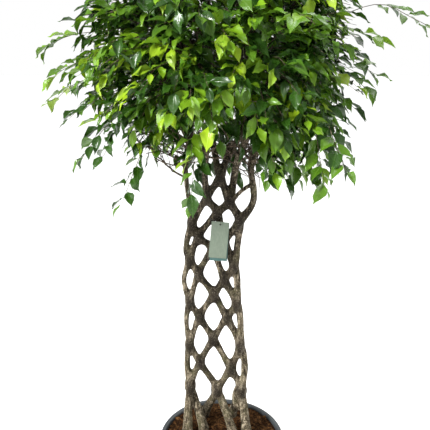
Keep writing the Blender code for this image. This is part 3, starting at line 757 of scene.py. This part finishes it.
def make_soil(surfaces):
    """A closed bed of soil with bark chips and coir fibres on its top."""
    side = inner_radius(SOIL_EDGE) - 0.0005
    profile = [(side * i / SOIL_RINGS, SOIL_EDGE) for i in range(SOIL_RINGS + 1)]
    profile += [(inner_radius(POT_FLOOR) - 0.001, POT_FLOOR + 0.0005), (0.0, POT_FLOOR + 0.0005)]
    bed = turned_mesh("soil_bed", profile[::-1], SOIL_SECTORS)
    for vertex in bed.vertices:
        if vertex.co.z > SOIL_EDGE - 0.001 and vertex.co.xy.length < side - 0.0005:
            vertex.co.z = soil_height(vertex.co.x, vertex.co.y)
    corners = [vertex.co.copy() for vertex in bed.vertices]
    faces = [tuple(polygon.vertices) for polygon in bed.polygons]
    marks = [0] * len(faces)
    bpy.data.meshes.remove(bed)
    draw = random.Random(SEED)
    for _ in range(CHIPS):
        add_chip(corners, faces, marks, side, draw)
    for _ in range(FIBRES):
        add_fibre(corners, faces, marks, side, draw)
    mesh = mesh_from("soil_bed", corners, faces)
    mesh_piece("soil_bed", mesh, surfaces, "soil", "soil")
    mesh.polygons.foreach_set("material_index", marks)
    mesh.shade_smooth()
    mesh.set_sharp_from_angle(angle=math.radians(48))


# Woven stems


def woven_routes():
    """The knots of each stem, in the order of STEM_FEET. At each crossing two lanes change places."""
    routes = [[Vector((x, y, SUNK_HEIGHT)), Vector((x, y, FOOT_HEIGHT))] for x, y in STEM_FEET]
    lanes = list(range(len(STEM_FEET)))
    for row in range(CROSSING_ROWS):
        level, outer = row // 2, row % 2 == 0
        for column in range(0 if outer else 1, len(CROSSINGS), 2):
            if level >= len(CROSSINGS[column]):
                continue
            x, height = CROSSINGS[column][level]
            rising, falling = lanes[column], lanes[column + 1]
            front = -WEAVE_DEPTH if outer else WEAVE_DEPTH
            routes[rising].append(Vector((x, LATTICE_Y + front, height)))
            routes[falling].append(Vector((x, LATTICE_Y - front, height)))
            lanes[column], lanes[column + 1] = falling, rising
        if not outer:
            for lane, bows in ((0, LEFT_BOWS), (-1, RIGHT_BOWS)):
                x, height = bows[level]
                routes[lanes[lane]].append(Vector((x, LATTICE_Y, height)))
    for stem, heading, top in zip(lanes, HEADS.values(), STEM_TOPS):
        routes[stem] += [Vector((*top, TOP_HEIGHT)), *limb_ends(heading)]
    return routes


def limb_ends(heading):
    """Both ends of the limb under the head with this heading."""
    level = CROWN_CENTRE + around(math.radians(heading), 1.0, 0.0) * LIMB_SPREAD
    return [Vector((level.x, level.y, height)) for height in (LIMB_FOOT_HEIGHT, LIMB_END_HEIGHT)]


def stem_radius(point):
    """Stout at the foot and at each crossing, slimmer in between and in the crown."""
    nearest = min(math.hypot(point.x - x, point.z - height) for x, height in ALL_CROSSINGS)
    radius = max(SLIM_RADIUS, GRAFT_RADIUS - GRAFT_TAPER * nearest)
    if point.z > TOP_HEIGHT:
        share = min(1.0, (point.z - TOP_HEIGHT) / (LIMB_END_HEIGHT - TOP_HEIGHT))
        radius = LIMB_RADIUS + (LIMB_END_RADIUS - LIMB_RADIUS) * share
    radius *= MIDDLE_SHARE + THICKER_TO_THE_RIGHT * point.x
    above = max(0.0, point.z - FOOT_HEIGHT)
    if above < FOOT_TAPER_HEIGHT:
        radius = max(radius, FOOT_RADIUS + (SLIM_RADIUS - FOOT_RADIUS) * above / FOOT_TAPER_HEIGHT)
        radius += FOOT_FLARE * math.exp(-above / FOOT_FLARE_HEIGHT)
    return radius * (1 + RADIUS_UNEVEN * noise.noise(point * 24))


def add_web(corners, faces, place, size, scale):
    """A flat ball that joins the stems about a place of the lattice."""
    base, (lump, lump_faces) = len(corners), ball(3, 1.0)
    for corner in lump:
        spot = Vector(a * b for a, b in zip(corner, size)) * scale
        corners.append(spot + Vector((place[0], LATTICE_Y, place[1])))
    faces += [tuple(base + index for index in face) for face in lump_faces]


def grow_together(piece):
    """Turns the piece's overlapping parts into one closed, softened skin."""
    skin = piece.modifiers.new("Skin", "REMESH")
    skin.mode = "VOXEL"
    skin.voxel_size = BARK_VOXEL
    soft = piece.modifiers.new("Soften", "SMOOTH")
    soft.factor = 0.5
    soft.iterations = 8
    graph = bpy.context.evaluated_depsgraph_get()
    graph.update()
    finished = bpy.data.meshes.new_from_object(piece.evaluated_get(graph))
    piece.modifiers.clear()
    piece.data = finished
    return finished


def raise_bark(mesh):
    """Low ridges, rings and grain, and how near a crossing each point is, for the shader, which darkens
    the bark there: partly darker graft bark, partly painted shade where the stems meet.
    """
    count = len(mesh.vertices)
    spots, normals = np.empty(count * 3), np.empty(count * 3)
    mesh.vertices.foreach_get("co", spots)
    mesh.vertex_normals.foreach_get("vector", normals)
    spots, normals = spots.reshape(-1, 3), normals.reshape(-1, 3)
    lifts = np.empty((count, 1))
    for i, (x, y, z) in enumerate(spots.tolist()):
        relief = RIDGE_RELIEF * noise.noise(Vector((x * 70, y * 70, z * 22)))
        relief += RING_RELIEF * max(0.0, noise.noise(Vector((x * 18, y * 18, z * 260))))
        lifts[i, 0] = relief + GRAIN_RELIEF * noise.noise(Vector((x, y, z)) * 160)
    mesh.vertices.foreach_set("co", (spots + normals * lifts).reshape(-1))
    mesh.update()
    grafts = np.array(ALL_CROSSINGS)
    away = np.hypot(spots[:, :1] - grafts[:, 0], (spots[:, 2:] - grafts[:, 1]) * 0.6).min(1)
    nearness = np.clip(GRAFT_AND_SHADE_DARKEST - away / GRAFT_AND_SHADE_REACH, 0.0, 1.0)
    mesh.attributes.new("graft_and_shade", "FLOAT", "POINT").data.foreach_set("value", nearness.astype(np.float32))


def make_trunk(surface):
    """Stems, a side branch and the webs at the crossings, in one skin."""
    corners, faces = [], []
    for knots in woven_routes():
        points = smooth_path(knots, STEM_STEP)
        add_tube(corners, faces, points, [stem_radius(point) for point in points], 12)
    points = smooth_path(SIDE_BRANCH, STEM_STEP)
    add_tube(corners, faces, points, [SIDE_BRANCH_RADIUS] * len(points), 8)
    for place, size in BROAD_WEBS:
        add_web(corners, faces, place, size, 1.0)
    for crossing in ALL_CROSSINGS:
        low, high = crossing[1] < LOW_WEBS_BELOW, crossing[1] > HIGH_WEBS_ABOVE
        add_web(corners, faces, crossing, WEB_SIZE, LOW_WEB if low else HIGH_WEB if high else 1.0)
    piece = mesh_piece("woven_stems", mesh_from("woven_stems", corners, faces), [], "bark", "woven_trunk")
    mesh = grow_together(piece)
    raise_bark(mesh)
    mesh.materials.clear()
    mesh.materials.append(surface)
    mesh.shade_smooth()


# Crown


def leaf_kind(kind):
    """Corners, faces and map of one closed blade on +X with its petiole, foot at the origin."""
    draw = random.Random(SEED * 100 + kind)
    width = LEAF_WIDTH * draw.uniform(0.86, 1.12)
    fold = draw.uniform(0.05, 0.60)
    droop = draw.uniform(0.02, 0.36)
    bend = draw.uniform(-0.09, 0.09)
    wave = draw.uniform(0.025, 0.100)
    waves = draw.uniform(1.1, 2.3)
    twist = draw.uniform(-0.45, 0.45)
    phase = draw.uniform(0, 2 * math.pi)
    corners, places = [], []

    def place(along, across, wide, lift):
        half = across * wide * width / 2
        ripple = wave * LEAF_LENGTH * math.sin(waves * 2 * math.pi * along + phase) * across**2
        x = (PETIOLE + along) * LEAF_LENGTH
        y = half + bend * along**2 * LEAF_LENGTH
        z = abs(half) * fold + half * twist * along - droop * along**2 * LEAF_LENGTH + ripple + lift
        corners.append((x, y, z))
        places.append((across * wide * 0.5 + 0.5, along))
        return len(corners) - 1

    faces = []
    base, tip = place(0.0, 0.0, 0.0, 0.0), place(1.0, 0.0, 0.0, 0.0)
    rims = [[place(along, side, wide, 0.0) for along, wide in LEAF_STATIONS] for side in (-1.0, 1.0)]
    for lift in (0.5, -0.5):
        rows = []
        for i, (along, wide) in enumerate(LEAF_STATIONS):
            inner = [place(along, across, wide, lift * LEAF_THICKNESS) for across in ACROSS[1:-1]]
            rows.append([rims[0][i], *inner, rims[1][i]])
        sheet = []
        for k in range(len(ACROSS) - 1):
            sheet.append((base, rows[0][k], rows[0][k + 1]))
            sheet.append((tip, rows[-1][k + 1], rows[-1][k]))
            for low, high in zip(rows, rows[1:]):
                sheet.append((low[k], high[k], high[k + 1]))
                sheet.append((low[k], high[k + 1], low[k + 1]))
        faces += [face if lift < 0 else face[::-1] for face in sheet]
    stalk = [Vector(), Vector(((PETIOLE + 0.03) * LEAF_LENGTH, 0.0, -0.0002))]
    tube_corners, tube_faces = [], []
    add_tube(tube_corners, tube_faces, stalk, [0.0007, 0.0006], 3)
    start = len(corners)
    for corner in tube_corners:
        corners.append(tuple(corner))
        places.append((0.5, 0.0))
    for face in tube_faces:
        shifted = [start + index for index in face]
        faces += [(shifted[0], a, b) for a, b in zip(shifted[1:], shifted[2:])]
    return np.array(corners), np.array(faces), np.array(places)


def crown_reach(way):
    """How far the foliage goes from the crown's centre that way. It is domed above, squarer below."""
    right = min(1.0, max(0.0, 0.5 + 0.8 * way.x))
    right *= right * (3 - 2 * right)
    front = min(1.0, max(0.0, -1.3 * way.y))
    wide = CROWN_HALF_WIDTH_LEFT + (CROWN_HALF_WIDTH_RIGHT - CROWN_HALF_WIDTH_LEFT) * right
    below = CROWN_BELOW_LEFT + (CROWN_BELOW_RIGHT - CROWN_BELOW_LEFT) * right - FRONT_RAISED * front
    tall, power = (CROWN_ABOVE, 2.4) if way.z > 0 else (below, 3.0)
    level = math.hypot(way.x / wide, way.y / CROWN_HALF_DEPTH)
    reach = (level**power + abs(way.z / tall) ** power) ** (-1 / power)
    return reach * (1 + 0.09 * noise.noise(way * 2.3) + 0.08 * noise.noise(way * 5.1))


def even_directions(count, draw):
    """Directions spread evenly round the crown, with a little scatter."""
    golden = math.pi * (3 - math.sqrt(5))
    for i in range(count):
        rise = 1 - 2 * (i + 0.5) / count
        level = math.sqrt(1 - rise * rise)
        yield (around(i * golden, level, rise) + scatter(draw, 0.09)).normalized()


def head_over(point):
    """The name of the head in whose sector the point is."""
    way = point - CROWN_CENTRE
    turn = round(math.degrees(math.atan2(way.y, way.x)) / HEAD_ANGLE) * HEAD_ANGLE % 360
    return next(name for name, heading in HEADS.items() if heading == turn)


def leaf_matrix(foot, along, face, size):
    """Places a blade: foot, direction and upper side."""
    along = along.normalized()
    across = face.cross(along).normalized()
    face = along.cross(across)
    turn = Matrix((along, across, face)).transposed().to_4x4()
    return Matrix.Translation(foot) @ turn @ Matrix.Scale(size, 4)


class Head:
    """One leafy head: its boughs, twigs and leaves, gathered for two meshes."""

    def __init__(self, name, heading, stem_top):
        self.name = name
        self.heading = heading
        self.corners, self.faces = [], []
        self.limb = limb_ends(heading)
        self.stem_top = Vector((*stem_top, TOP_HEIGHT))
        self.bough_points = []
        self.leaf_rows = []

    def add_branch(self, points, radius, taper, sides):
        """A tube that gets thinner evenly, by the taper's share of its radius."""
        radii = [radius * (1 - taper * k / (len(points) - 1)) for k in range(len(points))]
        add_tube(self.corners, self.faces, points, radii, sides)

    def add_boughs(self, draw):
        """Boughs from the limb, spread from low to high, which the twigs grow from."""
        top = self.limb[1]
        for i in range(BOUGHS_PER_HEAD):
            rise = -0.62 + 1.50 * (i + 0.5) / BOUGHS_PER_HEAD
            angle = math.radians(self.heading + draw.uniform(-24, 24))
            level = math.sqrt(max(0.05, 1 - rise * rise))
            way = around(angle, level, rise)
            end = CROWN_CENTRE + way * crown_reach(way) * draw.uniform(0.60, 0.74)
            start = self.limb[0].lerp(top, draw.uniform(0.1, 1.0)) if rise < 0.1 else top
            middle = start.lerp(end, 0.45) + UP * (0.04 + 0.05 * draw.random())
            middle += scatter(draw, 0.02)
            points = smooth_path((start, middle, end), 0.025)
            self.add_branch(points, BOUGH_RADIUS, 0.66, 6)
            self.bough_points += points[2:]

    def add_bare_twigs(self, draw):
        """Leafless, crooked twigs under the foliage, on the limb between lattice and crown."""
        for i in range(BARE_TWIGS_PER_HEAD):
            share = (i + 0.5) / BARE_TWIGS_PER_HEAD
            low, high = (self.stem_top, self.limb[0]) if share < 0.6 else self.limb
            angle = math.radians(self.heading + draw.uniform(-85, 85))
            way = around(angle, 1.0, draw.uniform(0.25, 1.0)).normalized()
            points, radius = [low.lerp(high, share)], draw.uniform(*BARE_TWIG_RADII)
            for _ in range(draw.randrange(5, 9)):
                way += scatter(draw, 0.24)
                way = (way + UP * 0.05).normalized()
                points.append(points[-1] + way * 0.024)
            self.add_branch(points, radius, 0.5, 5)
            spur = [points[draw.randrange(2, len(points) - 1)]]
            for _ in range(3):
                way = (way + scatter(draw, 0.7)).normalized()
                spur.append(spur[-1] + way * 0.018)
            add_tube(self.corners, self.faces, spur, [radius * 0.6] * 3 + [radius * 0.4], 4)

    def add_bare_branch(self, knots, draw):
        """A crooked low branch without leaves, with short forks."""
        points = smooth_path(knots, 0.016)
        points = [point + scatter(draw, 0.003) for point in points]
        self.add_branch(points, BARE_BRANCH_RADIUS, 0.55, 6)
        for before, point in zip(points[1:], points[2:]):
            way = (point - before).normalized()
            spur = [point]
            for _ in range(draw.randrange(3, 6)):
                way += scatter(draw, 0.55)
                way = (way + UP * 0.12).normalized()
                spur.append(spur[-1] + way * 0.016)
            self.add_branch(spur, SPUR_RADIUS, 0.6, 4)

    def add_twig(self, tip, kinds, draw, youth, reach=None):
        """A twig from the nearest bough to its tip, with leaves by turns on its outer part."""
        halfway = CROWN_CENTRE + (tip - CROWN_CENTRE) * 0.52
        start = min(self.bough_points, key=lambda point: (point - halfway).length)
        length = (tip - start).length
        habit = CROWN_TWIG if reach is None else SHOOT
        arch = UP * (habit["arch"] * length)
        sway = scatter(draw, 0.07) * length
        knots = (start, start.lerp(tip, 0.38) + arch + sway, start.lerp(tip, 0.74) + arch * 0.85, tip)
        points = smooth_path(knots, 0.03)
        self.add_branch(points, TWIG_RADIUS, 0.62, 4)
        self.add_leaves(points, kinds, draw, youth, reach, habit)

    def add_leaves(self, points, kinds, draw, youth, reach, habit):
        """Leaves by turns on both sides. With a reach it is a shoot, leafy only that far from its tip."""
        steps = [(b - a).length for a, b in zip(points, points[1:])]
        total = sum(steps)
        count = max(4, round((total * LEAFY_SHARE if reach is None else reach) / LEAF_SPACING))
        for i in range(count):
            at = total - (count - 1 - i) * LEAF_SPACING
            if at < LEAFLESS_FOOT:
                continue
            lower, left = 0, at
            while lower < len(steps) - 1 and left > steps[lower]:
                left -= steps[lower]
                lower += 1
            foot = points[lower].lerp(points[lower + 1], min(1.0, left / steps[lower]))
            run = (points[lower + 1] - points[lower]).normalized()
            outward = (foot - CROWN_CENTRE).normalized()
            side = run.cross(UP)
            side = side.normalized() if side.length > 0.05 else outward.orthogonal()
            side *= 1 if i % 2 else -1
            last = i == count - 1
            hanging = draw.random() < habit["hanging"]
            run.z *= 0.6
            along = run * draw.uniform(0.65, 1.25) + side * (0.0 if last else draw.uniform(0.35, 1.00))
            down = draw.uniform(0.5, 1.4) if hanging else draw.uniform(-0.25, 0.35)
            along = along - UP * down + scatter(draw, habit["loose"])
            tilt = draw.uniform(0.4, 1.1) if hanging else draw.uniform(0.0, 0.55)
            face = UP + outward * tilt + scatter(draw, 0.45)
            size = draw.uniform(habit["smallest"], LARGEST_LEAF) * (END_LEAF if last else 1.0)
            age = youth + 0.22 * (i / count) ** 3 + draw.uniform(-0.16, 0.16)
            kind = kinds[draw.randrange(len(kinds))]
            tone = draw.random()
            at_sparse_edge = reach is None and foot.x > SPARSE_EDGE_FROM and foot.z > SPARSE_EDGE_ABOVE
            if not at_sparse_edge or tone * 7 % 1 < SPARSE_EDGE_SHARE:
                self.leaf_rows.append((kind, leaf_matrix(foot, along, face, size), age, tone))

    def finish(self, leaf_materials, bark, box):
        """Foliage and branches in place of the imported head. Leaves that pass the box are left out."""
        corners, faces, places, marks, tones, base = [], [], [], [], [], 0
        low, high = box
        for (kind_corners, kind_faces, kind_places), matrix, age, tone in self.leaf_rows:
            turn = np.array(matrix)
            moved = kind_corners @ turn[:3, :3].T + turn[:3, 3]
            if (moved.min(0) < low).any() or (moved.max(0) > high).any():
                continue
            corners.append(moved)
            faces.append(kind_faces + base)
            places.append(kind_places)
            marks.append(np.full(len(kind_faces), sum(age >= limit for limit in AGE_LIMITS)))
            tones.append(np.full(len(moved), tone))
            base += len(moved)
        corners, faces = np.concatenate(corners), np.concatenate(faces)
        places, marks = np.concatenate(places), np.concatenate(marks)
        mesh = bpy.data.meshes.new(self.name + "_foliage")
        mesh.from_pydata(corners, [], faces)
        uv = mesh.uv_layers.new(name="blade")
        order = np.empty(len(mesh.loops), np.int32)
        mesh.loops.foreach_get("vertex_index", order)
        uv.uv.foreach_set("vector", places[order].astype(np.float32).reshape(-1))
        mesh.polygons.foreach_set("material_index", marks.astype(np.int32))
        shade = mesh.attributes.new("tone", "FLOAT", "POINT")
        shade.data.foreach_set("value", np.concatenate(tones).astype(np.float32))
        mesh.update()
        mesh.shade_smooth()
        mesh.set_sharp_from_angle(angle=math.radians(75))
        mesh_piece(self.name + "_foliage", mesh, leaf_materials, "leaf", self.name)
        branches = mesh_from(self.name + "_branches", self.corners, self.faces)
        branches.shade_smooth()
        mesh_piece(self.name + "_branches", branches, [bark], "bark", self.name)


def make_crown(leaf_materials, bark):
    """Six heads. Bare branches and shoots draw for themselves, so a change to one moves no other."""
    draw = random.Random(SEED)
    kinds = [leaf_kind(kind) for kind in range(LEAF_KINDS)]
    heads = {}
    for (name, heading), stem_top in zip(HEADS.items(), STEM_TOPS):
        heads[name] = Head(name, heading, stem_top)
        heads[name].add_boughs(draw)
        heads[name].add_bare_twigs(draw)
    for count, near, far in TWIG_LAYERS:
        for way in even_directions(count, draw):
            tip = CROWN_CENTRE + way * crown_reach(way) * draw.uniform(near, far)
            over_stems = abs(tip.x) < OVER_STEMS
            lowest = FRONT_TWIGS_ABOVE if tip.y < 0.10 else FRONT_TWIGS_ABOVE - BACK_TWIGS_LOWER
            if tip.z < TWIGS_ABOVE or (over_stems and tip.z < lowest):
                continue
            young = draw.random() < YOUNG_TWIG_SHARE
            youth = YOUNG_TWIG if young else draw.uniform(0.00, OLDER_TWIGS_UP_TO)
            heads[head_over(tip)].add_twig(tip, kinds, draw, youth)
    stems = [point for knots in woven_routes() for point in smooth_path(knots, STEM_STEP)]
    branches = [(name, knots) for name, group in BARE_BRANCHES.items() for knots in group]
    for i, (name, (foot, *knots)) in enumerate(branches):
        nearest = min(stems, key=lambda point: (point - Vector(foot)).length)
        heads[name].add_bare_branch((nearest, *knots), random.Random(SEED + i))
    for shoots, leafy in ((LONG_SHOOTS, LONG_SHOOTS_LEAFY), (SHORT_SHOOTS, SHORT_SHOOTS_LEAFY)):
        for i, (tip, youth) in enumerate(shoots):
            own_draw = random.Random(SEED * 100 + i)
            heads[head_over(Vector(tip))].add_twig(Vector(tip), kinds, own_draw, youth, leafy)
    box = np.array(cad_box[0]) - PAST_THE_SOLIDS, np.array(cad_box[1]) + PAST_THE_SOLIDS
    for head in heads.values():
        head.finish(leaf_materials, bark, box)


set_camera()
set_floor()
set_world()
set_lights()
bark = bark_surface("bark", STEM_SHADES)
twig_bark = bark_surface("twig_bark", TWIG_SHADES)
make_pot(plastic_surface())
make_soil([soil_surface(name, *shades) for name, shades in SOIL_SHADES.items()])
make_trunk(bark)
make_crown([leaf_surface(name, *looks) for name, looks in LEAF_SHADES.items()], twig_bark)
for node, surface in (
    ("tag_front_card", card_surface("tag_card", *CARD_SHADES)),
    ("tag_back_card", card_surface("tag_card_back", *BACK_CARD_SHADES)),
    ("tag_tie", cord_surface()),
):
    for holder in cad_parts[node].material_slots:
        holder.material = surface
